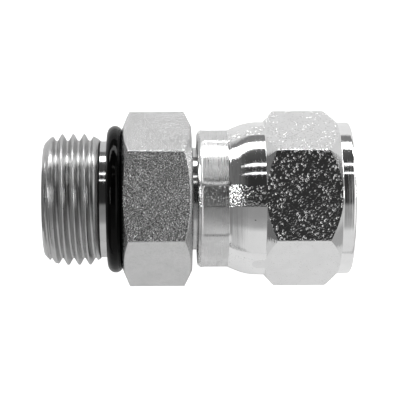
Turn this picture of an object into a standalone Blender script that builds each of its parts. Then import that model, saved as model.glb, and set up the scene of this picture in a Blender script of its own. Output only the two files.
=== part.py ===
"""Hydraulic adapter with a swivel nut, lying on its hexagon flats.

One end is a straight-thread stud with a sealing ring behind the thread. The
other end is a swivel nut, crimped loosely over the shoulder of the body's
nose, with a coned seat inside it. Three pieces come apart on a bench: the
body, the sealing ring and the nut.

Every piece is drawn along its own local Z, which is the axis of the fitting,
with station 0 at the hexagon face that closes on the port. The frame empty
then lays that axis along world X, and the flats rest on Z = 0.
"""

import math

import bmesh
import bpy

# Resolution of the round shapes, in steps for each full turn.
TURNED_STEPS = 48
THREAD_STEPS = 32
SEAL_RING_STEPS = 12
# Steps along the flare, round the nut's front edge and across one jaw's mark.
CURVE_STEPS = 5

# Clearances between pieces.
SEAL_CLEARANCE = 0.0002
SWIVEL_CLEARANCE = 0.00045
NUT_FLOAT_GAP = 0.00076

# Threads: both ends are 3/4 inch across, with 16 turns to the inch and a form of 60 degrees.
THREAD_RADIUS = 0.009525
THREAD_PITCH = 0.0015875
FLANK_ANGLE = math.radians(30.0)
THREAD_ALLOWANCE = 0.00005
STUD_CREST_WIDTH = 0.0002
STUD_ROOT_WIDTH = 0.00027
NUT_CREST_WIDTH = 0.0004
NUT_ROOT_WIDTH = 0.00023
THREAD_RUN_IN = 0.0018
TOOL_OVERRUN = 0.0004

# Body: stud end.
STUD_LENGTH = 0.01125
STUD_LEAD_DEPTH = 0.00128
STUD_LEAD_ANGLE = math.radians(37.0)
GROOVE_DEPTH_PAST_ROOT = 0.00012
GROOVE_SPARE_WIDTH = 0.0007
RUNOUT_ANGLE = math.radians(35.0)

# Body: hexagon. The port shoulder is how far its flats stand out past the thread.
PORT_SHOULDER = 0.001525
BODY_HEX_LENGTH = 0.00995
BODY_CHAMFER_ANGLE = math.radians(24.0)
PORT_FACE_INSET = 0.0003
NUT_SIDE_FACE_INSET = 0.0008

# Body: neck, shoulder and nose with the coned seat.
NECK_RADIUS = 0.0074
SHOULDER_HEIGHT = 0.0012
SHOULDER_LENGTH = 0.003
NOSE_LENGTH = 0.01335
NOSE_BREAK = 0.0003
NOSE_LIP = 0.0003
SEAT_ANGLE = math.radians(37.0)
BORE_RADIUS = 0.00495
BORE_BREAK = 0.0005

# Sealing ring.
SEAL_SECTION_RADIUS = 0.001

# Nut: crimped collar and skirt.
NUT_LENGTH = 0.02206
COLLAR_WALL = 0.00213
COLLAR_LENGTH = 0.0041
COLLAR_RIM_BREAK = 0.0005
SKIRT_FLARE_LENGTH = 0.005
SKIRT_WALL = 0.00201
SKIRT_BAND_LENGTH = 0.00045

# Nut: marks of the eight crimping jaws.
JAW_COUNT = 8
JAW_FIRST_RIDGE = math.radians(10.5)
JAW_RIDGE_WIDTH = 0.0008
JAW_DEPTH = 0.0001
JAW_START = 0.00058
JAW_OVERLAP = 0.00012

# Nut: hexagon, inside thread and front.
HEX_WALL = 0.001425
NUT_REAR_CHAMFER_ANGLE = math.radians(48.0)
NUT_FRONT_CHAMFER_ANGLE = math.radians(43.0)
NUT_FRONT_WALL = 0.00122
NUT_FRONT_LENGTH = 0.00184
NUT_FRONT_ROUND = 0.00045
MOUTH_CLEARANCE = 0.000175
THREAD_RELIEF_CLEARANCE = 0.000075
THREAD_RELIEF_WIDTH = 0.0015
NUT_THREAD_LENGTH = 0.0088


def thread_depth(crest_width, root_width):
    """Depth of a thread whose flanks join a flat crest and a flat root."""
    return (THREAD_PITCH - crest_width - root_width) / 2 / math.tan(FLANK_ANGLE)


# Radii that follow from the sizes above.
STUD_MAJOR_RADIUS = THREAD_RADIUS - THREAD_ALLOWANCE
STUD_ROOT_RADIUS = STUD_MAJOR_RADIUS - thread_depth(STUD_CREST_WIDTH, STUD_ROOT_WIDTH)
STUD_LEAD_RADIUS = STUD_MAJOR_RADIUS - STUD_LEAD_DEPTH
GROOVE_RADIUS = STUD_ROOT_RADIUS - GROOVE_DEPTH_PAST_ROOT
NOSE_RADIUS = NECK_RADIUS + SHOULDER_HEIGHT
SEAT_RADIUS = NOSE_RADIUS - NOSE_BREAK - NOSE_LIP
THROAT_RADIUS = NECK_RADIUS + SWIVEL_CLEARANCE
CHAMBER_RADIUS = NOSE_RADIUS + SWIVEL_CLEARANCE
COLLAR_RADIUS = THROAT_RADIUS + COLLAR_WALL
SKIRT_RADIUS = CHAMBER_RADIUS + SKIRT_WALL
NUT_ROOT_RADIUS = THREAD_RADIUS + THREAD_ALLOWANCE
NUT_MINOR_RADIUS = NUT_ROOT_RADIUS - thread_depth(NUT_CREST_WIDTH, NUT_ROOT_WIDTH)
THREAD_RELIEF_RADIUS = max(NUT_ROOT_RADIUS + THREAD_RELIEF_CLEARANCE, CHAMBER_RADIUS)
MOUTH_RADIUS = NUT_ROOT_RADIUS + MOUTH_CLEARANCE
NUT_FRONT_RADIUS = MOUTH_RADIUS + NUT_FRONT_WALL
BODY_ACROSS_FLATS = 2 * (STUD_MAJOR_RADIUS + PORT_SHOULDER)
NUT_ACROSS_FLATS = 2 * (NUT_ROOT_RADIUS + HEX_WALL)
PORT_FACE_RADIUS = BODY_ACROSS_FLATS / 2 - PORT_FACE_INSET
NUT_SIDE_FACE_RADIUS = BODY_ACROSS_FLATS / 2 - NUT_SIDE_FACE_INSET

# Stations along the axis that follow from the sizes above.
GROOVE_WIDTH = 2 * (SEAL_SECTION_RADIUS + SEAL_CLEARANCE) + GROOVE_SPARE_WIDTH
NOSE_END = BODY_HEX_LENGTH + NOSE_LENGTH
NUT_REAR = BODY_HEX_LENGTH + NUT_FLOAT_GAP
NUT_FRONT = NUT_REAR + NUT_LENGTH
FLARE_START = NUT_REAR + COLLAR_LENGTH
SKIRT_END = FLARE_START + SKIRT_FLARE_LENGTH + SKIRT_BAND_LENGTH
FRONT_BAND_START = NUT_FRONT - NUT_FRONT_LENGTH
THREAD_START = NUT_FRONT - NUT_THREAD_LENGTH
RELIEF_START = THREAD_START - THREAD_RELIEF_WIDTH

# The frame: the flats rest on Z = 0, and the middle of the length is at X = 0.
AXIS_HEIGHT = max(BODY_ACROSS_FLATS, NUT_ACROSS_FLATS) / 2
FRAME_X = (STUD_LENGTH - NUT_FRONT) / 2


def bar_radius(across_flats):
    """Radius of round bar that holds a hexagon, corners and all."""
    return across_flats / math.sqrt(3.0) + TOOL_OVERRUN


def flare_points(narrow, wide, length):
    """A flare that leaves its narrow end steeply and meets its wide end flush: (radius, station) pairs."""
    points = []
    for step in range(CURVE_STEPS + 1):
        share = step / CURVE_STEPS
        radius = narrow + (wide - narrow) * math.sin(share * math.pi / 2)
        points.append((radius, FLARE_START + share * length))
    return points


def body_outline():
    """Section of the body, from the stud's end along the outside and back through the bore."""
    lead = (STUD_MAJOR_RADIUS - STUD_LEAD_RADIUS) / math.tan(STUD_LEAD_ANGLE)
    runout = (STUD_MAJOR_RADIUS - GROOVE_RADIUS) / math.tan(RUNOUT_ANGLE)
    bar = bar_radius(BODY_ACROSS_FLATS)
    port_chamfer = (bar - PORT_FACE_RADIUS) * math.tan(BODY_CHAMFER_ANGLE)
    nut_chamfer = (bar - NUT_SIDE_FACE_RADIUS) * math.tan(BODY_CHAMFER_ANGLE)
    stud = [
        (STUD_LEAD_RADIUS, -STUD_LENGTH),
        (STUD_MAJOR_RADIUS, -STUD_LENGTH + lead),
        (STUD_MAJOR_RADIUS, -GROOVE_WIDTH - runout),
        (GROOVE_RADIUS, -GROOVE_WIDTH),
        (GROOVE_RADIUS, 0.0),
    ]
    hexagon = [
        (PORT_FACE_RADIUS, 0.0),
        (bar, port_chamfer),
        (bar, BODY_HEX_LENGTH - nut_chamfer),
        (NUT_SIDE_FACE_RADIUS, BODY_HEX_LENGTH),
    ]
    return stud + hexagon + nose_points() + bore_points()


def nose_points():
    """Neck, the shoulder that the crimp grips, and the nose up to its end face."""
    return [
        (NECK_RADIUS, BODY_HEX_LENGTH),
        *flare_points(NECK_RADIUS, NOSE_RADIUS, SHOULDER_LENGTH),
        (NOSE_RADIUS, NOSE_END - NOSE_BREAK),
        (NOSE_RADIUS - NOSE_BREAK, NOSE_END),
    ]


def bore_points():
    """Coned seat in the nose, the through bore and its broken edge at the stud's end."""
    seat_depth = (SEAT_RADIUS - BORE_RADIUS) / math.tan(SEAT_ANGLE)
    return [
        (SEAT_RADIUS, NOSE_END),
        (BORE_RADIUS, NOSE_END - seat_depth),
        (BORE_RADIUS, -STUD_LENGTH + BORE_BREAK),
        (BORE_RADIUS + BORE_BREAK, -STUD_LENGTH),
    ]


def nut_outside():
    """Outside of the nut: collar, flare, skirt, hexagon blank and the round front."""
    bar = bar_radius(NUT_ACROSS_FLATS)
    rear_chamfer = (bar - SKIRT_RADIUS) / math.tan(NUT_REAR_CHAMFER_ANGLE)
    front_chamfer = (bar - NUT_FRONT_RADIUS) / math.tan(NUT_FRONT_CHAMFER_ANGLE)
    edge_centre = NUT_FRONT_RADIUS - NUT_FRONT_ROUND
    edge = []
    for step in range(CURVE_STEPS + 1):
        turn = math.pi / 2 * step / CURVE_STEPS
        radius = edge_centre + NUT_FRONT_ROUND * math.cos(turn)
        edge.append((radius, NUT_FRONT - NUT_FRONT_ROUND * (1.0 - math.sin(turn))))
    return [
        (COLLAR_RADIUS - COLLAR_RIM_BREAK, NUT_REAR),
        (COLLAR_RADIUS, NUT_REAR + COLLAR_RIM_BREAK),
        *flare_points(COLLAR_RADIUS, SKIRT_RADIUS, SKIRT_FLARE_LENGTH),
        (SKIRT_RADIUS, SKIRT_END),
        (bar, SKIRT_END + rear_chamfer),
        (bar, FRONT_BAND_START - front_chamfer),
        (NUT_FRONT_RADIUS, FRONT_BAND_START),
        *edge,
    ]


def nut_inside():
    """Inside of the nut, from its mouth back to the crimped throat."""
    return [
        (MOUTH_RADIUS, NUT_FRONT),
        (NUT_MINOR_RADIUS, NUT_FRONT - (MOUTH_RADIUS - NUT_MINOR_RADIUS)),
        (NUT_MINOR_RADIUS, THREAD_START + (THREAD_RELIEF_RADIUS - NUT_MINOR_RADIUS)),
        (THREAD_RELIEF_RADIUS, THREAD_START),
        (THREAD_RELIEF_RADIUS, RELIEF_START),
        (CHAMBER_RADIUS, RELIEF_START),
        *reversed(flare_points(THROAT_RADIUS, CHAMBER_RADIUS, SHOULDER_LENGTH)),
        (THROAT_RADIUS, NUT_REAR),
    ]


def new_object(name, mesh, collection, parent):
    """An object for the mesh, in its collection and under its parent."""
    made = bpy.data.objects.new(name, mesh)
    made.parent = parent
    collection.objects.link(made)
    return made


def turned(name, outline, collection, parent):
    """A turned solid: the closed outline of (radius, station) pairs, screwed once round local Z."""
    points = [(radius, 0.0, station) for radius, station in reversed(outline)]
    count = len(points)
    mesh = bpy.data.meshes.new(name)
    mesh.from_pydata(points, [(i, (i + 1) % count) for i in range(count)], [])
    made = new_object(name, mesh, collection, parent)
    screw = made.modifiers.new("turning", "SCREW")
    screw.axis = "Z"
    screw.steps = TURNED_STEPS
    screw.render_steps = TURNED_STEPS
    screw.use_merge_vertices = False
    return made


def hexagon_bar(name, across_flats, collection, parent):
    """Hexagon bar longer than the fitting, with two flats square to local X."""
    length = 2 * (STUD_LENGTH + NUT_FRONT)
    mesh = bpy.data.meshes.new(name)
    work = bmesh.new()
    corner = across_flats / math.sqrt(3.0)
    bmesh.ops.create_cone(
        work, cap_ends=True, segments=6, radius1=corner, radius2=corner, depth=length
    )
    work.to_mesh(mesh)
    work.free()
    return cutter(new_object(name, mesh, collection, parent))


def thread_tool(name, section, start, end, collection, parent):
    """The path of a threading tool: its section swept up a right-hand helix from start to end."""
    turns = (end - start) / THREAD_PITCH
    steps = round(turns * THREAD_STEPS)
    mesh = bpy.data.meshes.new(name)
    work = bmesh.new()
    corners = [work.verts.new((radius, 0.0, start + along)) for radius, along in section]
    face = work.faces.new(corners)
    bmesh.ops.spin(
        work,
        geom=[face, *face.edges, *face.verts],
        axis=(0.0, 0.0, 1.0),
        dvec=(0.0, 0.0, (end - start) / steps),
        angle=2 * math.pi * turns,
        steps=steps,
    )
    bmesh.ops.recalc_face_normals(work, faces=work.faces[:])
    work.to_mesh(mesh)
    work.free()
    return cutter(new_object(name, mesh, collection, parent))


def stud_thread_section():
    """Groove between the stud's crests, open to the outside: (radius, offset along the axis) pairs."""
    wide = (THREAD_PITCH - STUD_CREST_WIDTH) / 2
    narrow = STUD_ROOT_WIDTH / 2
    outside = STUD_MAJOR_RADIUS + TOOL_OVERRUN
    return [
        (STUD_ROOT_RADIUS, -narrow),
        (STUD_MAJOR_RADIUS, -wide),
        (outside, -wide),
        (outside, wide),
        (STUD_MAJOR_RADIUS, wide),
        (STUD_ROOT_RADIUS, narrow),
    ]


def nut_thread_section():
    """Groove between the nut's crests, open to the inside: (radius, offset along the axis) pairs."""
    wide = (THREAD_PITCH - NUT_CREST_WIDTH) / 2
    narrow = NUT_ROOT_WIDTH / 2
    inside = NUT_MINOR_RADIUS - TOOL_OVERRUN
    return [
        (inside, -wide),
        (NUT_MINOR_RADIUS, -wide),
        (NUT_ROOT_RADIUS, -narrow),
        (NUT_ROOT_RADIUS, narrow),
        (NUT_MINOR_RADIUS, wide),
        (inside, wide),
    ]


def crimping_jaws(name, collection, parent):
    """Eight curved jaws round the collar, which leave a narrow ridge between each two marks."""
    ridge = JAW_RIDGE_WIDTH / COLLAR_RADIUS
    reach = 2 * math.pi / JAW_COUNT - ridge
    near = COLLAR_RADIUS - JAW_DEPTH
    far = SKIRT_RADIUS + TOOL_OVERRUN
    low = NUT_REAR + JAW_START
    high = FLARE_START + JAW_OVERLAP
    mesh = bpy.data.meshes.new(name)
    work = bmesh.new()
    for jaw in range(JAW_COUNT):
        # Local X points down, so a ridge at that angle from the top is half a turn away.
        begin = math.pi - JAW_FIRST_RIDGE + ridge / 2 + jaw * 2 * math.pi / JAW_COUNT
        corners = [
            work.verts.new((radius * math.cos(begin), radius * math.sin(begin), station))
            for radius, station in ((near, low), (far, low), (far, high), (near, high))
        ]
        face = work.faces.new(corners)
        bmesh.ops.spin(
            work,
            geom=[face, *face.edges, *face.verts],
            axis=(0.0, 0.0, 1.0),
            angle=reach,
            steps=CURVE_STEPS,
        )
    bmesh.ops.recalc_face_normals(work, faces=work.faces[:])
    work.to_mesh(mesh)
    work.free()
    return cutter(new_object(name, mesh, collection, parent))


def cutter(made):
    """Marks an object as a tool, which isn't part of the fitting."""
    made.hide_render = True
    made.display_type = "WIRE"
    return made


def machined(piece, operation, tool):
    """Adds one Boolean step to a piece."""
    step = piece.modifiers.new(tool.name, "BOOLEAN")
    step.operation = operation
    step.object = tool
    return piece


def finished(piece, material):
    """Applies the piece's steps, shades its round faces smooth and gives it its material."""
    graph = bpy.context.evaluated_depsgraph_get()
    mesh = bpy.data.meshes.new_from_object(piece.evaluated_get(graph))
    piece.modifiers.clear()
    piece.data = mesh
    mesh.materials.clear()
    mesh.materials.append(material)
    mesh.shade_smooth()
    mesh.set_sharp_from_angle(angle=math.radians(20.0))
    return piece


def surface(name, colour, metallic, roughness):
    """A Principled material of one colour."""
    material = bpy.data.materials.new(name)
    material.use_nodes = True
    shader = material.node_tree.nodes["Principled BSDF"]
    shader.inputs["Base Color"].default_value = (*colour, 1.0)
    shader.inputs["Metallic"].default_value = metallic
    shader.inputs["Roughness"].default_value = roughness
    return material


def fitting_body(parts, cutters, frame):
    """The body, turned from hexagon bar, with its stud threaded."""
    body = turned("body", body_outline(), parts, frame)
    bar = hexagon_bar("body_bar", BODY_ACROSS_FLATS, cutters, frame)
    die = thread_tool(
        "stud_thread_tool",
        stud_thread_section(),
        -STUD_LENGTH - THREAD_RUN_IN,
        -GROOVE_WIDTH / 2,
        cutters,
        frame,
    )
    machined(body, "INTERSECT", bar)
    machined(body, "DIFFERENCE", die)
    return finished(body, surface("satin_zinc_plate", (0.62, 0.62, 0.62), 1.0, 0.38))


def sealing_ring(parts, frame):
    """The rubber ring that lies in the groove, against the hexagon face."""
    middle = GROOVE_RADIUS + SEAL_CLEARANCE + SEAL_SECTION_RADIUS
    bpy.ops.mesh.primitive_torus_add(
        major_radius=middle,
        minor_radius=SEAL_SECTION_RADIUS,
        major_segments=TURNED_STEPS,
        minor_segments=SEAL_RING_STEPS,
    )
    ring = bpy.context.object
    ring.name = "sealing_ring"
    ring.data.name = "sealing_ring"
    for owner in ring.users_collection:
        owner.objects.unlink(ring)
    parts.objects.link(ring)
    ring.parent = frame
    ring.location = (0.0, 0.0, -SEAL_CLEARANCE - SEAL_SECTION_RADIUS)
    return finished(ring, surface("nitrile_rubber", (0.012, 0.012, 0.013), 0.0, 0.3))


def swivel_nut(parts, cutters, axis):
    """The nut, turned from hexagon bar, threaded inside and crimped over the nose."""
    nut = turned("swivel_nut", nut_outside() + nut_inside(), parts, axis)
    bar = hexagon_bar("nut_bar", NUT_ACROSS_FLATS, cutters, axis)
    jaws = crimping_jaws("crimping_jaws", cutters, axis)
    tap = thread_tool(
        "nut_thread_tool",
        nut_thread_section(),
        THREAD_START - THREAD_RELIEF_WIDTH / 2,
        NUT_FRONT + THREAD_RUN_IN,
        cutters,
        axis,
    )
    machined(nut, "INTERSECT", bar)
    machined(nut, "DIFFERENCE", jaws)
    machined(nut, "DIFFERENCE", tap)
    return finished(nut, surface("bright_zinc_plate", (0.72, 0.72, 0.72), 1.0, 0.22))


def empty(name, collection, parent=None):
    """An empty that places what is parented to it."""
    made = new_object(name, None, collection, parent)
    made.empty_display_size = BODY_ACROSS_FLATS
    return made


def main():
    """Builds the fitting in an emptied scene."""
    for old in list(bpy.data.objects):
        bpy.data.objects.remove(old)
    parts = bpy.data.collections.new("hydraulic_swivel_adapter")
    cutters = bpy.data.collections.new("cutters")
    for collection in (parts, cutters):
        bpy.context.scene.collection.children.link(collection)
    frame = empty("fitting_frame", parts)
    frame.location = (FRAME_X, 0.0, AXIS_HEIGHT)
    frame.rotation_euler = (0.0, math.pi / 2, 0.0)
    swivel_axis = empty("swivel_axis", parts, frame)
    fitting_body(parts, cutters, frame)
    sealing_ring(parts, frame)
    swivel_nut(parts, cutters, swivel_axis)


main()
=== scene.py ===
"""Looks of a hydraulic swivel fitting that lies on its hexagon flats.

The body, the sealing ring and the swivel nut are turned, threaded and milled
here as fine meshes, in millimetres along the fitting's axis, with station 0
at the hexagon face that closes on the port. Each mesh is then laid in the
frame's metres, where its plain solid was.
"""

import logging
import math
from collections.abc import Callable, Iterable, Sequence
from dataclasses import dataclass
from enum import IntEnum

import bmesh
import bpy
from mathutils import Matrix, Vector


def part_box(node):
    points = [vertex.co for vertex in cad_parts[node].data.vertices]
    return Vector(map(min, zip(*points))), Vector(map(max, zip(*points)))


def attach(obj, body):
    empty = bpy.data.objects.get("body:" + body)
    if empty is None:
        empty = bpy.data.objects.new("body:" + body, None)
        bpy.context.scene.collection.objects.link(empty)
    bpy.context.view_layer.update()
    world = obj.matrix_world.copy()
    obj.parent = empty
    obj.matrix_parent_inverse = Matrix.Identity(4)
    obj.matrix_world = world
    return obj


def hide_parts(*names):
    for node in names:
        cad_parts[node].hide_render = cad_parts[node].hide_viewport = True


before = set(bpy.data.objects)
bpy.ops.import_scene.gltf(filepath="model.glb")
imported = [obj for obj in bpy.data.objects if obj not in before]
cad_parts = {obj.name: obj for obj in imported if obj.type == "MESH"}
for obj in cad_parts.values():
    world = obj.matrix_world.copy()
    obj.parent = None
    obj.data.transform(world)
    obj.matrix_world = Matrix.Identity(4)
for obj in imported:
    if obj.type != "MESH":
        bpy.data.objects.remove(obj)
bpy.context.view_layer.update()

LOG = logging.getLogger("fitting")
MM = 0.001
FULL_TURN = 2 * math.pi
HEX_SIDES = 6
SECTORS = 16
FLARE_STEPS = 20
MERGE_DISTANCE = 0.0005
# Patterns are turned by this, in radians, so that no flat lies along their grid.
ASKEW = (0.6, 0.35, 0.9)
# Most of a noise pattern falls in this range.
NOISE_SPAN = (0.3, 0.7)
# A wave pattern's phase runs on by this many radians in each unit.
WAVE_RATE = 20
# A lamp of radiance 1 takes this much power for each unit of its area.
LAMP_POWER = 4

BMesh = bmesh.types.BMesh
Vert = bmesh.types.BMVert
Edge = bmesh.types.BMEdge
Object = bpy.types.Object
Span = tuple[float, float]
Outline = list["Corner"]
Limit = Callable[[float], float]
Socket = bpy.types.NodeSocket
Value = Socket | float | tuple[float, ...]


class Surface(IntEnum):
    """Which finish a face of a steel piece has: the order of its material slots."""

    TURNED = 0
    BAR_SKIN = 1
    THREAD = 2
    CRIMPED = 3
    CHAMFER = 4
    INSIDE = 5


@dataclass(frozen=True)
class Band:
    """A stretch of stations, in millimetres, whose outside has one surface."""

    surface: Surface
    first: float
    last: float


@dataclass(frozen=True)
class Corner:
    """A corner of a turned outline, in millimetres."""

    station: float
    radius: float
    rounding: float = 0.0


@dataclass(frozen=True)
class Axis:
    """Where the fitting's axis runs in the frame, in metres."""

    origin_x: float
    height: float

    @classmethod
    def from_frame(cls, stud_length: float) -> "Axis":
        """Finds the axis from the body's box and the stud's length in millimetres."""
        low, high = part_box("body")
        return cls(low.x + stud_length * MM, (low.z + high.z) / 2)

    def to_frame(self) -> Matrix:
        """Returns the matrix that takes millimetres along the axis to the frame."""
        return Matrix.Translation((self.origin_x, 0.0, self.height)) @ Matrix.Scale(MM, 4)


@dataclass(frozen=True)
class ThreadForm:
    """A 60 degree right-hand thread, in millimetres, with a groove's middle at groove_station.

    The limit's stations and radii run from the thread's one end to its other, and the thread
    stays below the limit if it is outside, or else above it.
    """

    pitch: float
    root_radius: float
    root_width: float
    crest_radius: float
    crest_width: float
    rounding: float
    groove_station: float
    limit: tuple[Span, ...]
    outside: bool
    flank_cuts: int = 3
    rounding_segments: int = 2

    def flank_length(self) -> float:
        """Returns the length of one flank."""
        width = (self.pitch - self.root_width - self.crest_width) / 2
        return math.hypot(self.crest_radius - self.root_radius, width)


def add_object(name: str, data: bpy.types.ID) -> Object:
    """Adds an object to the scene.

    Args:
        name: Name of the object.
        data: The mesh, lamp or camera that it shows.

    Returns:
        The object.
    """
    made = bpy.data.objects.new(name, data)
    bpy.context.scene.collection.objects.link(made)
    return made


def mesh_object(work: BMesh, name: str, materials: Sequence[bpy.types.Material]) -> Object:
    """Makes an object of a finished mesh.

    Args:
        work: The mesh in metres, which is freed.
        name: Name of the object and of its mesh.
        materials: The object's materials, by slot.

    Returns:
        The object, at the origin.
    """
    mesh = bpy.data.meshes.new(name)
    work.to_mesh(mesh)
    work.free()
    for material in materials:
        mesh.materials.append(material)
    return add_object(name, mesh)


def bevel(work: BMesh, parts: list[Vert] | list[Edge], offset: float, segments: int) -> None:
    """Rounds corners or edges of a mesh.

    Args:
        work: The mesh, in millimetres.
        parts: Its vertices or edges to round.
        offset: How far the rounding reaches, in millimetres.
        segments: How many steps the rounding has.
    """
    bmesh.ops.bevel(
        work,
        geom=parts,
        offset=offset,
        offset_type="OFFSET",
        affect="EDGES" if isinstance(parts[0], Edge) else "VERTICES",
        segments=segments,
        profile=0.5,
        material=-1,
        clamp_overlap=True,
    )


def limit_line(points: Sequence[Span]) -> Limit:
    """Makes a radius limit that runs straight between points.

    Args:
        points: Pairs of station and radius, by rising station.

    Returns:
        A function from station to radius.
    """

    def radius_at(station: float) -> float:
        """Returns the limit's radius at a station."""
        for (begin, low), (end, high) in zip(points, points[1:]):
            if station <= end:
                share = max(station - begin, 0.0) / (end - begin)
                return low + share * (high - low)
        return points[-1][1]

    return radius_at


@dataclass
class TurnedPiece:
    """What the body and the nut share: both are turned, threaded and milled from hexagon bar."""

    axis: Axis
    across_flats: float
    steps: int = 288
    rounding_segments: int = 5
    ridge_rounding: float = 0.17
    rim_rounding: float = 0.03
    edge_segments: int = 4
    edge_break: float = 0.05
    bar_spare: float = 0.3
    flat_angle: float = math.radians(15.0)
    sharp_angle: float = math.radians(34.0)

    def bar_radius(self) -> float:
        """Returns the radius of round bar that holds the hexagon and a little more."""
        return self.across_flats / math.sqrt(3.0) + self.bar_spare

    def sweep(self, work: BMesh, advance: float) -> None:
        """Sweeps an outline once round the axis: one sector in small steps, then copies of it.

        Args:
            work: The mesh, which holds the outline's edges and nothing else.
            advance: How far the sweep moves along the axis in its turn, in millimetres.
        """
        sector = FULL_TURN / SECTORS
        bmesh.ops.spin(
            work,
            geom=work.verts[:] + work.edges[:],
            axis=(1.0, 0.0, 0.0),
            dvec=(advance / self.steps, 0.0, 0.0),
            angle=sector,
            steps=self.steps // SECTORS,
        )
        bmesh.ops.spin(
            work,
            geom=work.verts[:] + work.edges[:] + work.faces[:],
            axis=(1.0, 0.0, 0.0),
            dvec=(advance / SECTORS, 0.0, 0.0),
            angle=FULL_TURN - sector,
            steps=SECTORS - 1,
            use_duplicate=True,
        )
        bmesh.ops.remove_doubles(work, verts=work.verts[:], dist=MERGE_DISTANCE)

    def turn(self, work: BMesh, outline: Outline) -> None:
        """Turns an outline about the axis, with its corners rounded.

        Args:
            work: The empty mesh that takes the turned faces.
            outline: Corners from one end of the outline to the other.
        """
        verts = [work.verts.new((corner.station, 0.0, corner.radius)) for corner in outline]
        for pair in zip(verts, verts[1:]):
            work.edges.new(pair)
        for rounding in sorted({corner.rounding for corner in outline} - {0.0}):
            alike = [vert for vert, corner in zip(verts, outline) if corner.rounding == rounding]
            bevel(work, alike, rounding, self.rounding_segments)
        self.sweep(work, 0.0)
        bmesh.ops.recalc_face_normals(work, faces=work.faces[:])

    def mill_flats(self, work: BMesh) -> None:
        """Cuts the six flats of the hexagon, two of them square to Z, and rounds their edges.

        Args:
            work: The turned mesh.
        """
        for side in range(HEX_SIDES):
            turn = FULL_TURN * side / HEX_SIDES
            normal = Vector((0.0, math.sin(turn), math.cos(turn)))
            cut = bmesh.ops.bisect_plane(
                work,
                geom=work.verts[:] + work.edges[:] + work.faces[:],
                dist=MERGE_DISTANCE,
                plane_co=normal * self.across_flats / 2,
                plane_no=normal,
                clear_outer=True,
            )
            rim = [part for part in cut["geom_cut"] if isinstance(part, Edge)]
            flats = bmesh.ops.edgeloop_fill(work, edges=rim, mat_nr=Surface.BAR_SKIN)
            for flat in flats["faces"]:
                flat.normal_update()
                if flat.normal.dot(normal) < 0:
                    flat.normal_flip()
        self.round_edges(work)

    def round_edges(self, work: BMesh) -> None:
        """Rounds the edges between two flats, and then more finely those round each flat's ends."""
        for flats, rounding in ((2, self.ridge_rounding), (1, self.rim_rounding)):
            bevel(work, self.edges_of_flats(work, flats), rounding, self.edge_segments)

    def edges_of_flats(self, work: BMesh, flats: int) -> list[Edge]:
        """Finds the clear edges of the flats.

        Args:
            work: The milled mesh.
            flats: How many of an edge's two faces are flats.

        Returns:
            The edges.
        """
        found = []
        for edge in work.edges:
            flat = [face.material_index == Surface.BAR_SKIN for face in edge.link_faces]
            if len(flat) == 2 and sum(flat) == flats and edge.calc_face_angle() > self.flat_angle:
                found.append(edge)
        return found

    def cut_thread(self, work: BMesh, form: ThreadForm) -> None:
        """Adds a thread between the two open rings of the turned outline.

        Args:
            work: The turned mesh.
            form: The thread, whose limit begins at one ring and ends at the other.
        """
        limit = limit_line(form.limit)
        start, end = form.limit[0][0], form.limit[-1][0]
        thread = bmesh.new()
        first = math.floor((start - form.groove_station) / form.pitch) - 1
        last = math.ceil((end - form.groove_station) / form.pitch) + 1
        chain = []
        for turn in range(first, last + 1):
            middle = form.groove_station + turn * form.pitch
            for offset, radius in (
                (-form.root_width / 2, form.root_radius),
                (form.root_width / 2, form.root_radius),
                ((form.pitch - form.crest_width) / 2, form.crest_radius),
                ((form.pitch + form.crest_width) / 2, form.crest_radius),
            ):
                chain.append(thread.verts.new((middle + offset, 0.0, radius)))
        for pair in zip(chain, chain[1:]):
            thread.edges.new(pair)
        bevel(thread, chain[1:-1], form.rounding, form.rounding_segments)
        flanks = [edge for edge in thread.edges if edge.calc_length() > form.flank_length() / 2]
        bmesh.ops.subdivide_edges(thread, edges=flanks, cuts=form.flank_cuts)
        self.sweep(thread, form.pitch)
        for vert in thread.verts:
            station = min(max(vert.co.x, start), end)
            radius = math.hypot(vert.co.y, vert.co.z)
            bound = limit(station)
            kept = min(radius, bound) if form.outside else max(radius, bound)
            vert.co = (station, vert.co.y * kept / radius, vert.co.z * kept / radius)
        bmesh.ops.remove_doubles(thread, verts=thread.verts[:], dist=MERGE_DISTANCE)
        for face in thread.faces:
            face.material_index = Surface.THREAD
        strip = bpy.data.meshes.new("thread_strip")
        thread.to_mesh(strip)
        thread.free()
        work.from_mesh(strip)
        bpy.data.meshes.remove(strip)
        bmesh.ops.remove_doubles(work, verts=work.verts[:], dist=MERGE_DISTANCE)

    def finish(self, work: BMesh, name: str, finishes: Sequence["PlatedSteel"]) -> Object:
        """Lays a finished mesh in the frame and dresses it.

        Args:
            work: The mesh in millimetres, which is freed.
            name: Name of the piece.
            finishes: The finish of each surface, in their order.

        Returns:
            The piece's object, at the origin.
        """
        bmesh.ops.recalc_face_normals(work, faces=work.faces[:])
        for face in work.faces:
            face.smooth = True
        for edge in work.edges:
            edge.smooth = edge.calc_face_angle(0.0) < self.sharp_angle
        bmesh.ops.transform(work, matrix=self.axis.to_frame(), verts=work.verts[:])
        materials = {finish: finish.material(self.axis) for finish in dict.fromkeys(finishes)}
        piece = mesh_object(work, name, [materials[finish] for finish in finishes])
        weighted = piece.modifiers.new("flat_shading", "WEIGHTED_NORMAL")
        weighted.keep_sharp = True
        return piece


def mark_surfaces(work: BMesh, inside: Limit, bands: Sequence[Band]) -> None:
    """Gives the turned faces of a piece their surface by where they are.

    Args:
        work: The turned mesh, in millimetres.
        inside: Radius at a station below which a face belongs to the inside.
        bands: Stretches of the outside that aren't plainly turned.
    """
    for face in work.faces:
        if face.material_index != Surface.TURNED:
            continue
        middle = face.calc_center_median()
        if math.hypot(middle.y, middle.z) < inside(middle.x):
            face.material_index = Surface.INSIDE
            continue
        for band in bands:
            if band.first < middle.x < band.last:
                face.material_index = band.surface


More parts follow.
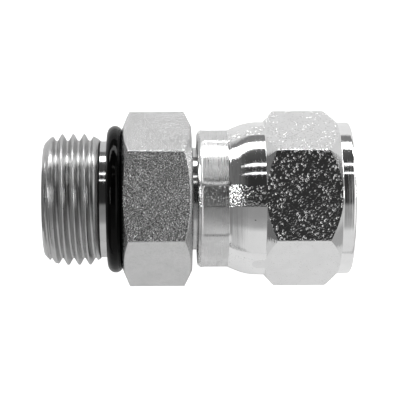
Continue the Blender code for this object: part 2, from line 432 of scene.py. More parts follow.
def flare(
    start: float, length: float, narrow: float, wide: float, ease: float = 1.0, fall: float = 1.8
) -> Outline:
    """Makes a flare that swells from its narrow end and meets its wide end flush.

    Args:
        start: Station of the narrow end.
        length: Length along the axis.
        narrow: Radius of the narrow end.
        wide: Radius of the wide end.
        ease: How slowly it leaves the narrow end, 1 for at once.
        fall: How early it swells, 1 for evenly.

    Returns:
        The corners, both ends among them.
    """
    corners = []
    for step in range(FLARE_STEPS + 1):
        share = step / FLARE_STEPS
        swell = 1 - (1 - share**ease) ** fall
        corners.append(Corner(start + share * length, narrow + (wide - narrow) * swell))
    return corners


@dataclass
class AdapterBody(TurnedPiece):
    """The body: threaded stud, undercut, hexagon, neck, and nose with the coned seat."""

    across_flats: float = 22.0
    stud_length: float = 11.25
    stud_radius: float = 9.475
    root_radius: float = 8.507
    pitch: float = 1.5875
    lead_radius: float = 8.05
    lead_length: float = 0.95
    lead_rounding: float = 0.12
    lead_step: float = 0.3
    run_in: float = 1.8
    taper_length: float = 1.6
    runout_start: float = -4.7
    runout_step: float = 0.12
    runout_height: float = 0.2
    groove_start: float = -3.1
    groove_radius: float = 8.39
    fillet: float = 0.2
    port_face_rounding: float = 0.06
    port_face_radius: float = 10.3
    port_chamfer_angle: float = math.radians(22.4)
    nut_face_rounding: float = 0.08
    nut_face_radius: float = 10.45
    nut_chamfer_angle: float = math.radians(26.3)
    hex_length: float = 9.95
    neck_radius: float = 7.4
    neck_length: float = 1.05
    nose_radius: float = 8.6
    nose_length: float = 13.35
    nose_rounding: float = 0.3
    shoulder_length: float = 3.0
    seat_radius: float = 8.0
    seat_angle: float = math.radians(37.0)
    seat_rounding: float = 0.1
    bore_radius: float = 4.95
    bore_break: float = 0.5
    # How far the hexagon's chamfers keep clear of its two end faces.
    chamfer_margin: float = 0.01
    # Stations and radii of a line that parts the inside's faces from the outside's.
    parting: tuple[Span, ...] = ((-11.25, 6.0), (20.0, 6.0), (22.9, 8.05))

    def lead(self) -> Corner:
        """Returns the ring on the stud's lead-in where its thread begins."""
        return Corner(-self.stud_length + self.lead_step, self.lead_radius + self.lead_step)

    def outline(self) -> Outline:
        """Draws the body's outline.

        Returns:
            The corners from the groove's first ring round to the stud's first ring.
        """
        bar = self.bar_radius()
        port_chamfer = (bar - self.port_face_radius) * math.tan(self.port_chamfer_angle)
        nut_chamfer = (bar - self.nut_face_radius) * math.tan(self.nut_chamfer_angle)
        nose_end = self.hex_length + self.nose_length
        seat_depth = (self.seat_radius - self.bore_radius) / math.tan(self.seat_angle)
        neck_end = self.hex_length + self.neck_length
        shoulder = self.hex_length + self.shoulder_length - neck_end
        return [
            Corner(self.groove_start, self.groove_radius),
            Corner(0.0, self.groove_radius, self.fillet),
            Corner(0.0, self.port_face_radius, self.port_face_rounding),
            Corner(port_chamfer, bar),
            Corner(self.hex_length - nut_chamfer, bar),
            Corner(self.hex_length, self.nut_face_radius, self.nut_face_rounding),
            Corner(self.hex_length, self.neck_radius, self.fillet),
            *flare(neck_end, shoulder, self.neck_radius, self.nose_radius),
            Corner(nose_end, self.nose_radius, self.nose_rounding),
            Corner(nose_end, self.seat_radius, self.edge_break),
            Corner(nose_end - seat_depth, self.bore_radius, self.seat_rounding),
            Corner(-self.stud_length + self.bore_break, self.bore_radius, self.edge_break),
            Corner(-self.stud_length, self.bore_radius + self.bore_break, self.edge_break),
            Corner(-self.stud_length, self.lead_radius, self.lead_rounding),
            self.lead(),
        ]

    def thread_form(self) -> ThreadForm:
        """Sizes the stud's thread: 3/4 inch across, 16 turns to the inch.

        Returns:
            The thread. Its limit is what the stud was turned to before the thread was cut.
        """
        lead_end = -self.stud_length + self.lead_length
        return ThreadForm(
            pitch=self.pitch,
            root_radius=self.root_radius,
            root_width=0.27,
            crest_radius=self.stud_radius,
            crest_width=0.2,
            rounding=0.06,
            groove_station=-self.stud_length - self.run_in + self.pitch / 2,
            limit=(
                (self.lead().station, self.lead().radius),
                (lead_end, self.lead_radius + self.lead_length),
                (lead_end + self.taper_length, self.stud_radius),
                (self.runout_start, self.stud_radius),
                (self.groove_start - self.runout_step, self.groove_radius + self.runout_height),
                (self.groove_start, self.groove_radius),
            ),
            outside=True,
        )

    def finishes(self) -> tuple["PlatedSteel", ...]:
        """Chooses the body's finishes: satin plate with a fine grain, with darker tones on the thread and
        the chamfers as painted shade.

        Returns:
            The finish of each surface, in their order.
        """
        fine_skin = BarSkin(
            grain_size=0.15, grain_depth=0.086, crater_size=0.25, crater_depth=0.009, calm=0.95
        )
        turned = PlatedSteel(
            "satin_turned", tone=0.56, roughness=0.1, mark_depth=0.003, scratch_depth=0.01
        )
        skin = PlatedSteel("satin_bar_skin", tone=0.61, roughness=0.15, skin=fine_skin)
        # Painted shade: the thread has a darker tone than the turned faces, standing in for the shade in its
        # grooves.
        thread = PlatedSteel(
            "satin_thread", tone=0.48, roughness=0.3, scratch_depth=0.01, pit_levels=(0.68, 0.74)
        )
        # Painted shade: the chamfers have a darker tone than the turned faces, standing in for the shade and
        # the dark ring that they mirror.
        chamfer = PlatedSteel("satin_chamfer", tone=0.46, roughness=0.2, skin=fine_skin)
        inside = PlatedSteel(
            "satin_inside", tone=0.55, roughness=0.3, mark_depth=0.006, scratch_depth=0.01
        )
        return (turned, skin, thread, turned, chamfer, inside)

    def build(self) -> Object:
        """Makes the body in its solid's place.

        Returns:
            The body's object.
        """
        work = bmesh.new()
        self.turn(work, self.outline())
        chamfers = Band(Surface.CHAMFER, self.chamfer_margin, self.hex_length - self.chamfer_margin)
        mark_surfaces(work, limit_line(self.parting), [chamfers])
        self.mill_flats(work)
        self.cut_thread(work, self.thread_form())
        piece = self.finish(work, "adapter_body_steel", self.finishes())
        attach(piece, "adapter_body")
        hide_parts("body")
        return piece


@dataclass
class SwivelNut(TurnedPiece):
    """The nut: crimped collar, flare, skirt, hexagon, round front and inside thread."""

    across_flats: float = 22.0
    steps: int = 384
    ridge_rounding: float = 0.11
    rim_rounding: float = 0.06
    rear: float = 10.71
    length: float = 22.06
    rear_bevel_length: float = 0.5
    rear_bevel_depth: float = 0.42
    rear_rounding: float = 0.15
    fillet: float = 0.1
    collar_radius: float = 9.98
    collar_length: float = 4.35
    collar_steps: int = 34
    flare_length: float = 4.75
    flare_ease: float = 1.3
    flare_fall: float = 3.0
    ring_rounding: float = 0.08
    skirt_radius: float = 11.06
    skirt_band: float = 0.45
    rear_chamfer_angle: float = math.radians(48.0)
    front_chamfer_angle: float = math.radians(43.0)
    front_radius: float = 10.97
    front_length: float = 1.84
    front_rounding: float = 0.45
    mouth_radius: float = 9.75
    mouth_break: float = 0.15
    minor_radius: float = 8.746
    root_radius: float = 9.575
    pitch: float = 1.5875
    thread_length: float = 8.8
    relief_radius: float = 9.65
    relief_width: float = 1.5
    chamber_radius: float = 9.05
    throat_radius: float = 7.85
    shoulder_end: float = 12.95
    ridge_angles: tuple[float, ...] = (54.0, 9.6, -36.1, -80.5, -125.5, -170.5, 144.5, 99.5)
    ridge_widths: tuple[float, ...] = (0.6, 0.3, 1.0, 0.8, 0.7, 0.9, 0.6, 0.8)
    jaw_start: float = 0.62
    jaw_end: float = 4.45
    jaw_corner: float = 0.5
    jaw_depth: float = 0.1
    jaw_edge: float = 0.28
    # Vertices up to this far past the marks and below the collar's outside may be pressed.
    jaw_reach: Span = (1.0, 0.3)
    crimped_from: float = 0.45
    # How far the hexagon's chamfers keep clear of the skirt and the round front.
    chamfer_margin: float = 0.05
    # A line that parts the inside's faces from the outside's: distances from the rear, and radii.
    parting: tuple[Span, ...] = ((0.0, 9.0), (0.1, 9.3), (21.76, 9.8), (22.06, 9.74))

    def front(self) -> float:
        """Returns the station of the nut's front face."""
        return self.rear + self.length

    def thread_start(self) -> float:
        """Returns the station where the inside thread begins, next to its relief."""
        return self.front() - self.thread_length

    def skirt_end(self) -> float:
        """Returns the station where the skirt meets the hexagon's chamfer."""
        return self.rear + self.collar_length + self.flare_length + self.skirt_band

    def outline(self) -> Outline:
        """Draws the nut's outline.

        Returns:
            The corners from the thread's inner ring round to its ring at the mouth.
        """
        bar = self.bar_radius()
        front = self.front()
        band = front - self.front_length
        skirt_end = self.skirt_end()
        flare_start = self.rear + self.collar_length
        relief_start = self.thread_start() - self.relief_width
        collar_start = self.rear + self.rear_bevel_length
        step = (flare_start - collar_start) / self.collar_steps
        throat = flare(self.rear, self.shoulder_end - self.rear, self.throat_radius, self.chamber_radius)
        collar = [
            Corner(collar_start + step * count, self.collar_radius) for count in range(1, self.collar_steps)
        ]
        form = (self.collar_radius, self.skirt_radius, self.flare_ease, self.flare_fall)
        return [
            Corner(self.thread_start(), self.relief_radius),
            Corner(relief_start, self.relief_radius, self.fillet),
            Corner(relief_start, self.chamber_radius, self.fillet),
            *reversed(throat),
            Corner(self.rear, self.collar_radius - self.rear_bevel_depth, self.rear_rounding),
            Corner(collar_start, self.collar_radius, self.fillet),
            *collar,
            *flare(flare_start, self.flare_length, *form),
            Corner(skirt_end, self.skirt_radius, self.ring_rounding),
            Corner(skirt_end + (bar - self.skirt_radius) / math.tan(self.rear_chamfer_angle), bar),
            Corner(band - (bar - self.front_radius) / math.tan(self.front_chamfer_angle), bar),
            Corner(band, self.front_radius, self.ring_rounding),
            Corner(front, self.front_radius, self.front_rounding),
            Corner(front, self.mouth_radius, self.edge_break),
            Corner(front - self.mouth_break, self.mouth_radius - self.mouth_break),
        ]

    def press_collar(self, work: BMesh) -> None:
        """Presses the marks of the eight jaws into the collar, with a ridge between each two.

        Args:
            work: The turned mesh.
        """
        past, below = self.jaw_reach
        for vert in work.verts:
            station, radius = vert.co.x - self.rear, math.hypot(vert.co.y, vert.co.z)
            if not 0.0 < station < self.jaw_end + past or radius < self.collar_radius - below:
                continue
            angle = math.degrees(math.atan2(vert.co.y, vert.co.z))
            depth = self.jaw_depth * self.jaw_share(station, angle)
            vert.co.y *= (radius - depth) / radius
            vert.co.z *= (radius - depth) / radius

    def jaw_share(self, station: float, angle: float) -> float:
        """Finds how far one point of the collar is pressed in.

        Args:
            station: Distance from the nut's rear end.
            angle: Direction from the top towards +Y, in degrees.

        Returns:
            1 inside a jaw's mark, 0 outside, and a smooth edge between.
        """
        half_length = (self.jaw_end - self.jaw_start) / 2
        along = abs(station - (self.jaw_start + self.jaw_end) / 2) - half_length
        arc = math.radians(1.0) * self.collar_radius
        across = -min(
            abs((angle - ridge + 180.0) % 360.0 - 180.0) * arc - width / 2
            for ridge, width in zip(self.ridge_angles, self.ridge_widths)
        )
        over = math.hypot(max(along + self.jaw_corner, 0.0), max(across + self.jaw_corner, 0.0))
        distance = over + min(max(along, across) + self.jaw_corner, 0.0) - self.jaw_corner
        share = min(max(0.5 - distance / self.jaw_edge, 0.0), 1.0)
        return share * share * (3 - 2 * share)

    def thread_form(self) -> ThreadForm:
        """Sizes the inside thread, whose crest is nearer the axis than its root.

        Returns:
            The thread. Its limit is the hole that the nut was bored to before the thread was cut.
        """
        front, start = self.front(), self.thread_start()
        return ThreadForm(
            pitch=self.pitch,
            root_radius=self.root_radius,
            root_width=0.23,
            crest_radius=self.minor_radius,
            crest_width=0.4,
            rounding=0.06,
            groove_station=start - self.relief_width / 2 + self.pitch / 2,
            limit=(
                (start, self.relief_radius),
                (start + self.relief_radius - self.minor_radius, self.minor_radius),
                (front - self.mouth_radius + self.minor_radius, self.minor_radius),
                (front - self.mouth_break, self.mouth_radius - self.mouth_break),
            ),
            outside=False,
            flank_cuts=1,
        )

    def finishes(self) -> tuple["PlatedSteel", ...]:
        """Chooses the nut's finishes: bright plate, with coarse specks on the bar's skin, and a darker tone
        on the chamfers as painted shade.

        Returns:
            The finish of each surface, in their order.
        """
        coarse_skin = BarSkin(
            grain_size=0.21, grain_depth=0.051, crater_size=0.38, crater_depth=0.04, calm=0.6
        )
        pressed_skin = BarSkin(
            grain_size=0.22, grain_depth=0.055, crater_size=0.36, crater_depth=0.038
        )
        strip = SkinStrip(half_width=1.45, last_station=25.0)
        turned = PlatedSteel(
            "bright_turned", tone=0.86, roughness=0.08, mark_pitch=0.17, mark_depth=0.0065,
            scratch_depth=0.008, skin=coarse_skin, strip=strip,
        )
        skin = PlatedSteel(
            "bright_bar_skin", tone=0.77, roughness=0.07, roughness_wander=0.02, skin=coarse_skin
        )
        crimped = PlatedSteel(
            "bright_crimped", tone=0.65, tone_wander=0.05, roughness=0.29, roughness_wander=0.03,
            grain_depth=0.035, scratch_depth=0.002, skin=pressed_skin, strip=strip,
        )
        # Painted shade: the chamfers have a darker tone than the turned faces, standing in for the shade
        # beside the skirt and the round front.
        chamfer = PlatedSteel(
            "bright_chamfer", tone=0.68, roughness=0.1, mark_depth=0.002, scratch_depth=0.004
        )
        inside = PlatedSteel(
            "bright_inside", tone=0.7, roughness=0.25, mark_depth=0.006, scratch_depth=0.01
        )
        return (turned, skin, inside, crimped, chamfer, inside)

    def build(self) -> Object:
        """Makes the nut in its solid's place.

        Returns:
            The nut's object.
        """
        work = bmesh.new()
        self.turn(work, self.outline())
        parting = limit_line([(self.rear + distance, radius) for distance, radius in self.parting])
        chamfers_end = self.front() - self.front_length - self.chamfer_margin
        chamfers = Band(Surface.CHAMFER, self.skirt_end() + self.chamfer_margin, chamfers_end)
        collar = Band(Surface.CRIMPED, self.rear + self.crimped_from, self.rear + self.jaw_end)
        mark_surfaces(work, parting, [collar, chamfers])
        self.press_collar(work)
        self.mill_flats(work)
        self.cut_thread(work, self.thread_form())
        piece = self.finish(work, "nut_steel", self.finishes())
        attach(piece, "nut")
        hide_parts("swivel_nut")
        return piece


@dataclass
class SealingRing:
    """The rubber ring, stretched into the undercut against the hexagon face."""

    axis: Axis
    groove_radius: float = AdapterBody.groove_radius
    section_radius: float = 1.12
    section_steps: int = 40
    steps: int = 256
    squeeze: float = 0.07

    def build(self) -> Object:
        """Makes the ring in its solid's place.

        Returns:
            The ring's object.
        """
        work = bmesh.new()
        bmesh.ops.create_circle(work, segments=self.section_steps, radius=self.section_radius)
        upright = Matrix.Rotation(math.pi / 2, 4, "X")
        middle = (self.squeeze - self.section_radius, 0.0, self.groove_radius + self.section_radius)
        bmesh.ops.transform(work, matrix=Matrix.Translation(middle) @ upright, verts=work.verts[:])
        for vert in work.verts:
            vert.co.x = min(vert.co.x, 0.0)
        bmesh.ops.spin(
            work,
            geom=work.verts[:] + work.edges[:],
            axis=(1.0, 0.0, 0.0),
            angle=FULL_TURN,
            steps=self.steps,
            use_merge=True,
        )
        bmesh.ops.recalc_face_normals(work, faces=work.faces[:])
        for face in work.faces:
            face.smooth = True
        bmesh.ops.transform(work, matrix=self.axis.to_frame(), verts=work.verts[:])
        piece = mesh_object(work, "rubber_ring", [Rubber().material(self.axis)])
        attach(piece, "adapter_body")
        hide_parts("sealing_ring")
        return piece


class NodeWork:
    """Adds nodes to one node tree and links them."""

    def __init__(self, tree: bpy.types.NodeTree) -> None:
        """Takes the tree that the nodes go into."""
        self.tree = tree

    def node(self, kind: str, **inputs: Value) -> bpy.types.Node:
        """Adds a node.

        Args:
            kind: Blender's name for the node's type.
            **inputs: A value or a socket to link for each input, by its name.

        Returns:
            The node.
        """
        made = self.tree.nodes.new(kind)
        self.fill_named(made, inputs)
        return made

    def shade(self, **inputs: Value) -> None:
        """Fills inputs of the Principled shader."""
        self.fill_named(self.tree.nodes["Principled BSDF"], inputs)

    def fill_named(self, node: bpy.types.Node, inputs: dict[str, Value]) -> None:
        """Fills inputs of a node by their names, with underscores for spaces."""
        self.fill([node.inputs[name.replace("_", " ")] for name in inputs], inputs.values())

    def fill(self, sockets: Iterable[Socket], values: Iterable[Value]) -> None:
        """Links each socket to another, or sets its value.

        Args:
            sockets: The sockets to fill.
            values: A value or a socket to link for each of them.
        """
        for socket, value in zip(sockets, values):
            if isinstance(value, Socket):
                self.tree.links.new(value, socket)
            else:
                socket.default_value = value

    def math(self, operation: str, *values: Value) -> Socket:
        """Adds a Math node.

        Args:
            operation: Blender's name for what it does.
            *values: The numbers that it takes.

        Returns:
            The node's result.
        """
        made = self.tree.nodes.new("ShaderNodeMath")
        made.operation = operation
        self.fill(made.inputs, values)
        return made.outputs["Value"]

    def remap(self, value: Value, source: Span, target: Span = (0.0, 1.0)) -> Socket:
        """Takes a value from one range to another, with a smooth start and end.

        Args:
            value: The value.
            source: The range that it comes from.
            target: The range that it goes to.

        Returns:
            The value in its new range.
        """
        limits = dict(zip(("From_Min", "From_Max", "To_Min", "To_Max"), (*source, *target)))
        made = self.node("ShaderNodeMapRange", Value=value, **limits)
        made.interpolation_type = "SMOOTHSTEP"
        return made.outputs["Result"]

    def mix(self, share: Socket, without: Value, full: Value) -> Socket:
        """Mixes two colours.

        Args:
            share: How much of the second colour there is.
            without: The first colour.
            full: The second colour.

        Returns:
            The colour between them.
        """
        made = self.tree.nodes.new("ShaderNodeMix")
        made.data_type = "RGBA"
        self.fill_named(made, {"Factor": share, "A": without, "B": full})
        return made.outputs["Result"]


class Recipe(NodeWork):
    """Builds one material, with patterns measured in millimetres from the fitting's axis."""

    def __init__(self, name: str, axis: Axis) -> None:
        """Starts a material.

        Args:
            name: Name of the material.
            axis: The fitting's axis.
        """
        self.material = bpy.data.materials.new(name)
        self.material.use_nodes = True
        super().__init__(self.material.node_tree)
        metres = self.node("ShaderNodeTexCoord").outputs["Object"]
        centre = (-axis.origin_x / MM, 0.0, -axis.height / MM)
        self.place = self.mapped(metres, Scale=(1 / MM, 1 / MM, 1 / MM), Location=centre)
        self.askew = self.mapped(self.place, Rotation=ASKEW)

    def mapped(self, place: Socket, **changes: Value) -> Socket:
        """Returns a place that is scaled, turned or moved."""
        return self.node("ShaderNodeMapping", Vector=place, **changes).outputs["Vector"]

    def noise(
        self, size: float, detail: float = 2.0, warp: float = 0.0, place: Socket | None = None
    ) -> Socket:
        """Makes a cloudy pattern.

        Args:
            size: Size of its features, in millimetres.
            detail: How many finer layers it has.
            warp: How far it is warped, 0 for not at all.
            place: The place that it reads, if not the askew one.

        Returns:
            The pattern, from 0 to 1.
        """
        place = place or self.askew
        cloud = self.node("ShaderNodeTexNoise", Vector=place, Scale=1 / size, Detail=detail, Distortion=warp)
        return cloud.outputs["Fac"]

    def craters(self, size: float) -> Socket:
        """Returns small round craters of a size in millimetres: -1 at their bottoms, 0 between them."""
        cells = self.node("ShaderNodeTexVoronoi", Vector=self.askew, Scale=1 / size)
        return self.remap(cells.outputs["Distance"], (0.08, 0.5), (-1.0, 0.0))

    def bump(self, height: Value) -> None:
        """Gives the shader a relief whose height is in millimetres."""
        self.shade(Normal=self.node("ShaderNodeBump", Height=height, Distance=MM).outputs["Normal"])


@dataclass(frozen=True)
class Rubber:
    """Black nitrile rubber, glossy with a slightly uneven skin. Lengths are in millimetres."""

    tones: Span = (0.00056, 0.00112)
    gloss: float = 0.09
    roughness: Span = (0.04, 0.1)
    swell_size: float = 1.1
    swell_depth: float = 0.04
    fine_size: float = 0.17
    fine_depth: float = 0.002

    def material(self, axis: Axis) -> bpy.types.Material:
        """Makes the rubber.

        Args:
            axis: The fitting's axis.

        Returns:
            The material.
        """
        recipe = Recipe("nitrile_rubber", axis)
        cloud = recipe.noise(self.swell_size, warp=0.5)
        fine = recipe.noise(self.fine_size)
        tone = recipe.remap(cloud, NOISE_SPAN, self.tones)
        roughness = recipe.remap(fine, NOISE_SPAN, self.roughness)
        recipe.shade(Base_Color=tone, Roughness=roughness, Specular_IOR_Level=self.gloss)
        swell = recipe.math("MULTIPLY", cloud, self.swell_depth)
        recipe.bump(recipe.math("MULTIPLY_ADD", fine, self.fine_depth, swell))
        return recipe.material


@dataclass(frozen=True)
class BarSkin:
    """The skin of the drawn bar: grain and small craters, in patches. Lengths are in millimetres."""

    grain_size: float
    grain_depth: float
    crater_size: float
    crater_depth: float
    patch_size: float = 1.3
    patch_levels: Span = (0.4, 0.6)
    calm: float = 0.5

    def relief(self, recipe: Recipe) -> Socket:
        """Makes the skin's relief, which is nearly zero in the mean.

        Args:
            recipe: The material that it is for.

        Returns:
            The height, in millimetres.
        """
        grain = recipe.math("SUBTRACT", recipe.noise(self.grain_size, 1.0), 0.5)
        fine = recipe.math("MULTIPLY", grain, self.grain_depth)
        rough = recipe.math("MULTIPLY_ADD", recipe.craters(self.crater_size), self.crater_depth, fine)
        cloud = recipe.noise(self.patch_size, warp=0.5)
        patches = recipe.remap(cloud, self.patch_levels, (self.calm, 1.0))
        return recipe.math("MULTIPLY", rough, patches)


@dataclass(frozen=True)
class SkinStrip:
    """Where narrow strips of the bar's skin are left on turned faces. Lengths are in millimetres."""

    half_width: float
    last_station: float
    softness: float = 0.1

    def share(self, recipe: Recipe) -> Socket:
        """Marks the six strips, one in line with each flat.

        Args:
            recipe: The material that it is for.

        Returns:
            1 on the strips and 0 elsewhere.
        """
        parts = recipe.node("ShaderNodeSeparateXYZ", Vector=recipe.place)
        across, up = parts.outputs["Y"], parts.outputs["Z"]
        fold = recipe.math("PINGPONG", recipe.math("ARCTAN2", across, up), math.pi / HEX_SIDES)
        square = recipe.math("MULTIPLY_ADD", across, across, recipe.math("MULTIPLY", up, up))
        arc = recipe.math("MULTIPLY", fold, recipe.math("SQRT", square))
        limits = (self.half_width - self.softness, self.half_width + self.softness)
        inside = recipe.remap(arc, limits, (1.0, 0.0))
        before = recipe.math("LESS_THAN", parts.outputs["X"], self.last_station)
        return recipe.math("MULTIPLY", inside, before)


@dataclass(frozen=True)
class PlatedSteel:
    """Zinc-plated steel. Lengths and depths are in millimetres."""

    name: str
    tone: float
    roughness: float
    tone_wander: float = 0.02
    roughness_wander: float = 0.04
    cloud_size: float = 2.2
    grain_size: float = 0.25
    grain_depth: float = 0.0
    mark_pitch: float = 0.22
    mark_depth: float = 0.0
    mark_warp: float = 1.2
    # Scratches run round the axis: the pattern is squeezed along it and drawn out across it.
    scratch_stretch: tuple[float, float, float] = (6.0, 0.08, 0.08)
    scratch_depth: float = 0.0
    pit_size: float = 0.38
    pit_levels: Span = (0.74, 0.78)
    pit_tone: float = 0.35
    skin: BarSkin | None = None
    strip: SkinStrip | None = None

    def material(self, axis: Axis) -> bpy.types.Material:
        """Makes the steel's material.

        Args:
            axis: The fitting's axis, which tool marks and scratches run round.

        Returns:
            The material.
        """
        recipe = Recipe(self.name, axis)
        cloud = recipe.noise(self.cloud_size, 3.0, warp=0.5)
        streaks = recipe.noise(1.0, 3.0, place=recipe.mapped(recipe.place, Scale=self.scratch_stretch))
        height = recipe.math("MULTIPLY", recipe.noise(self.grain_size), self.grain_depth)
        if self.mark_depth:
            height = recipe.math("MULTIPLY_ADD", self.tool_marks(recipe), self.mark_depth, height)
        if self.scratch_depth:
            height = recipe.math("MULTIPLY_ADD", streaks, self.scratch_depth, height)
        if self.skin:
            share = self.strip.share(recipe) if self.strip else 1.0
            height = recipe.math("MULTIPLY", height, recipe.math("SUBTRACT", 1.0, share))
            height = recipe.math("MULTIPLY_ADD", self.skin.relief(recipe), share, height)
        tones = (self.tone - self.tone_wander, self.tone + self.tone_wander)
        tone = recipe.remap(cloud, NOISE_SPAN, tones)
        pits = recipe.remap(recipe.noise(self.pit_size), self.pit_levels, (1.0, self.pit_tone))
        spread = (self.roughness - self.roughness_wander, self.roughness + self.roughness_wander)
        roughness = recipe.remap(streaks, NOISE_SPAN, spread)
        recipe.shade(Base_Color=recipe.math("MULTIPLY", tone, pits), Roughness=roughness, Metallic=1.0)
        recipe.bump(height)
        return recipe.material

    def tool_marks(self, recipe: Recipe) -> Socket:
        """Makes the grooves that the turning tool left at each turn.

        Args:
            recipe: The material that they are for.

        Returns:
            Their height, from 0 to 1.
        """
        wave = recipe.node(
            "ShaderNodeTexWave",
            Vector=recipe.mapped(recipe.place, Scale=(1.0, 0.1, 0.1)),
            Scale=FULL_TURN / WAVE_RATE / self.mark_pitch,
            Distortion=self.mark_warp,
            Detail=2.0,
            Detail_Scale=1.5,
        )
        wave.wave_type = "BANDS"
        wave.bands_direction = "X"
        return wave.outputs["Fac"]


@dataclass(frozen=True)
class Panel:
    """A lamp that shines evenly from a flat face, in metres."""

    name: str
    centre: tuple[float, float, float]
    width: float
    height: float
    radiance: float
    in_mirrors: bool = True

    def hang(self, target: Vector) -> None:
        """Hangs the lamp.

        Args:
            target: The point that it faces.
        """
        data = bpy.data.lights.new(self.name, "AREA")
        data.shape = "RECTANGLE"
        data.size = self.width
        data.size_y = self.height
        data.energy = LAMP_POWER * self.width * self.height * self.radiance
        lamp = add_object(self.name, data)
        lamp.location = self.centre
        lamp.visible_glossy = self.in_mirrors
        away = (Vector(self.centre) - target).normalized()
        side = Vector((1.0, 0.0, 0.0))
        side = (side - away * side.dot(away)).normalized()
        lamp.rotation_euler = Matrix((side, away.cross(side), away)).transposed().to_euler()


def grey(level: float) -> tuple[float, float, float, float]:
    """Returns a grey as a node's colour."""
    return (level, level, level, 1.0)


def lay_sheet(name: str, low: Span, high: Span, height: float, tone: float) -> Object:
    """Lays a flat sheet that is only there for the picture, with a matt material of its own.

    Args:
        name: Name of the sheet and of its material.
        low: Its corner with the least X and Y, in metres.
        high: Its corner with the greatest X and Y.
        height: Height above the frame's floor, in metres.
        tone: Its grey.

    Returns:
        The sheet's object.
    """
    work = bmesh.new()
    corners = ((low[0], low[1]), (high[0], low[1]), (high[0], high[1]), (low[0], high[1]))
    work.faces.new([work.verts.new((across, along, height)) for across, along in corners])
    material = bpy.data.materials.new(name)
    material.use_nodes = True
    paint = NodeWork(material.node_tree)
    paint.shade(Base_Color=grey(tone), Roughness=1.0, Specular_IOR_Level=0.0)
    sheet = mesh_object(work, name, [material])
    return sheet


@dataclass(frozen=True)
class Card:
    """A dark card on the floor, which only mirrors show: a painted dark reflection that stands in for the
    shade under the rear softbox and at the studio's dim sides. Lengths are in metres.
    """

    name: str
    low: Span
    high: Span
    height: float = 0.0005
    tone: float = 0.2

    def lay(self) -> None:
        """Lays the card on the floor."""
        card = lay_sheet(self.name, self.low, self.high, self.height, self.tone)
        card.visible_camera = False
        card.visible_diffuse = False
        card.visible_shadow = False


@dataclass(frozen=True)
class ViewPoint:
    """The camera, which looks down on the fitting. Lengths are in millimetres."""

    axis: Axis
    scale: float = 6.9
    distance: float = 235.0
    picture: float = 400.0
    picture_middle: float = 199.5
    stand_pixel: Span = (166.0, 252.0)
    port_face_pixel: float = 122.4
    axis_pixel: float = 198.1
    roll: float = math.radians(-0.4)
    sensor: float = 36.0
    nearest: float = 10.0

    def place(self) -> None:
        """Sets up the camera and makes it the scene's."""
        stand = self.in_frame(*self.stand_pixel, self.distance)
        target = self.in_frame(self.picture_middle, self.picture_middle, 0.0)
        data = bpy.data.cameras.new("camera")
        data.sensor_width = self.sensor
        data.lens = self.sensor * self.scale * self.distance / self.picture
        data.clip_start = self.nearest * MM
        camera = add_object("camera", data)
        view = (target - stand).normalized()
        right = view.cross(Vector((0.0, 1.0, 0.0))).normalized()
        turned = Matrix((right, right.cross(view), -view)).transposed()
        camera.location = stand
        camera.rotation_euler = (turned @ Matrix.Rotation(self.roll, 3, "Z")).to_euler()
        bpy.context.scene.camera = camera

    def in_frame(self, across: float, down: float, height: float) -> Vector:
        """Finds the point above the axis that a pixel stands for.

        Args:
            across: Pixel column.
            down: Pixel row.
            height: Height above the axis, in millimetres.

        Returns:
            The point in the frame, in metres.
        """
        along = (across - self.port_face_pixel) / self.scale * MM
        aside = (self.axis_pixel - down) / self.scale * MM
        return Vector((self.axis.origin_x + along, aside, self.axis.height + height * MM))


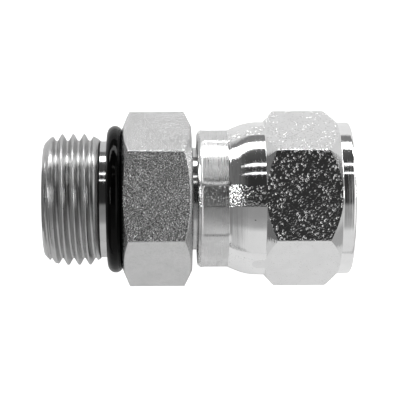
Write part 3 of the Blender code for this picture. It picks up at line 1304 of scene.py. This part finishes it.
@dataclass
class Studio:
    """Pale floor, soft lamps, a sky that is dark overhead, and the camera."""

    axis: Axis
    floor_reach: float = 0.3
    floor_drop: float = 0.00002
    floor_tone: float = 0.8
    camera_glow: float = 0.8
    panels: tuple[Panel, ...] = (
        Panel("rear_softbox", (0.0, 0.6, 0.071), 1.4, 0.12, 5.6),
        Panel("upper_strip", (0.0, 0.40, 0.573), 0.5, 0.024, 3.0),
        Panel("lower_strip", (0.0, 0.524, 0.464), 0.5, 0.04, 3.0),
        Panel("left_lamp", (-0.74, 0.09, 0.67), 0.08, 0.3, 9.0),
        Panel("right_lamp", (0.91, 0.09, 0.41), 0.16, 0.2, 12.0),
        Panel("right_window", (0.6, 0.37, 0.15), 0.26, 0.28, 6.0),
        Panel("floor_light", (0.0, 0.0, 1.5), 1.2, 1.2, 1.8, in_mirrors=False),
    )
    # Angles from straight up towards +Y, in degrees, and the sky's level there.
    sky: tuple[Span, ...] = (
        (-180.0, 0.75), (-54.0, 0.75), (-46.0, 0.42), (-30.0, 0.32), (-15.0, 0.30),
        (-9.0, 0.035), (30.0, 0.03), (70.0, 0.08), (90.0, 0.25), (180.0, 0.25),
    )
    right_aside: Span = (0.42, 0.54)
    right_height: Span = (0.3, 0.5)
    right_level: float = 1.2
    left_aside: Span = (0.45, 0.7)
    left_level: float = 0.2
    # Painted dark reflections: cards that only mirrors see, in place of the shade under the softbox and at
    # the sides.
    cards: tuple[Card, ...] = (
        Card("rear_card", (-0.8, 0.06), (0.8, 0.29), tone=0.19),
        Card("left_card", (-0.3, -0.3), (-0.06, 0.06)),
        Card("right_card", (0.06, -0.3), (0.3, 0.0), tone=0.45),
    )

    def build(self) -> None:
        """Sets up everything that isn't part of the fitting."""
        scene = bpy.context.scene
        scene.view_settings.view_transform = "Standard"
        self.lay_floor()
        for card in self.cards:
            card.lay()
        self.light_sky()
        for panel in self.panels:
            panel.hang(Vector((0.0, 0.0, self.axis.height)))
        ViewPoint(self.axis).place()

    def lay_floor(self) -> None:
        """Lays the pale floor, which glows for the camera so that it comes out white."""
        reach = self.floor_reach
        low, high = (-reach, -reach), (reach, reach)
        floor = lay_sheet("pale_floor", low, high, -self.floor_drop, self.floor_tone)
        work = NodeWork(floor.data.materials[0].node_tree)
        path = work.node("ShaderNodeLightPath")
        glow = work.math("MULTIPLY", path.outputs["Is Camera Ray"], self.camera_glow)
        work.shade(Emission_Color=grey(1.0), Emission_Strength=glow)

    def light_sky(self) -> None:
        """Makes the sky: a tunnel of soft light along X, dark overhead and bright at its sides."""
        world = bpy.data.worlds.new("studio_sky")
        world.use_nodes = True
        work = NodeWork(world.node_tree)
        coordinates = work.node("ShaderNodeTexCoord")
        parts = work.node("ShaderNodeSeparateXYZ", Vector=coordinates.outputs["Generated"])
        along, aside, up = (parts.outputs[name] for name in "XYZ")
        turn = work.math("ARCTAN2", aside, up)
        ramp = work.node("ShaderNodeValToRGB", Fac=work.math("MULTIPLY_ADD", turn, 1 / FULL_TURN, 0.5))
        stops = ramp.color_ramp.elements
        while len(stops) < len(self.sky):
            stops.new(0.5)
        for stop, (angle, level) in zip(stops, self.sky):
            stop.position = (angle + 180.0) / 360.0
            stop.color = grey(level)
        aside_share = work.remap(along, self.right_aside)
        right = work.math("MULTIPLY", aside_share, work.remap(up, self.right_height))
        lit = work.mix(right, ramp.outputs["Color"], grey(self.right_level))
        left = work.remap(work.math("MULTIPLY", along, -1.0), self.left_aside)
        shaded = work.mix(left, lit, grey(self.left_level))
        path = work.node("ShaderNodeLightPath")
        seen = work.mix(path.outputs["Is Camera Ray"], shaded, grey(1.0))
        work.fill_named(work.tree.nodes["Background"], {"Color": seen})
        bpy.context.scene.world = world


def main() -> None:
    """Builds the fitting and its studio."""
    logging.basicConfig(level=logging.INFO, format="%(message)s")
    axis = Axis.from_frame(AdapterBody.stud_length)
    Studio(axis).build()
    for part in (AdapterBody(axis), SealingRing(axis), SwivelNut(axis)):
        piece = part.build()
        LOG.info("%s: %d faces", piece.name, len(piece.data.polygons))


if __name__ == "__main__":
    main()
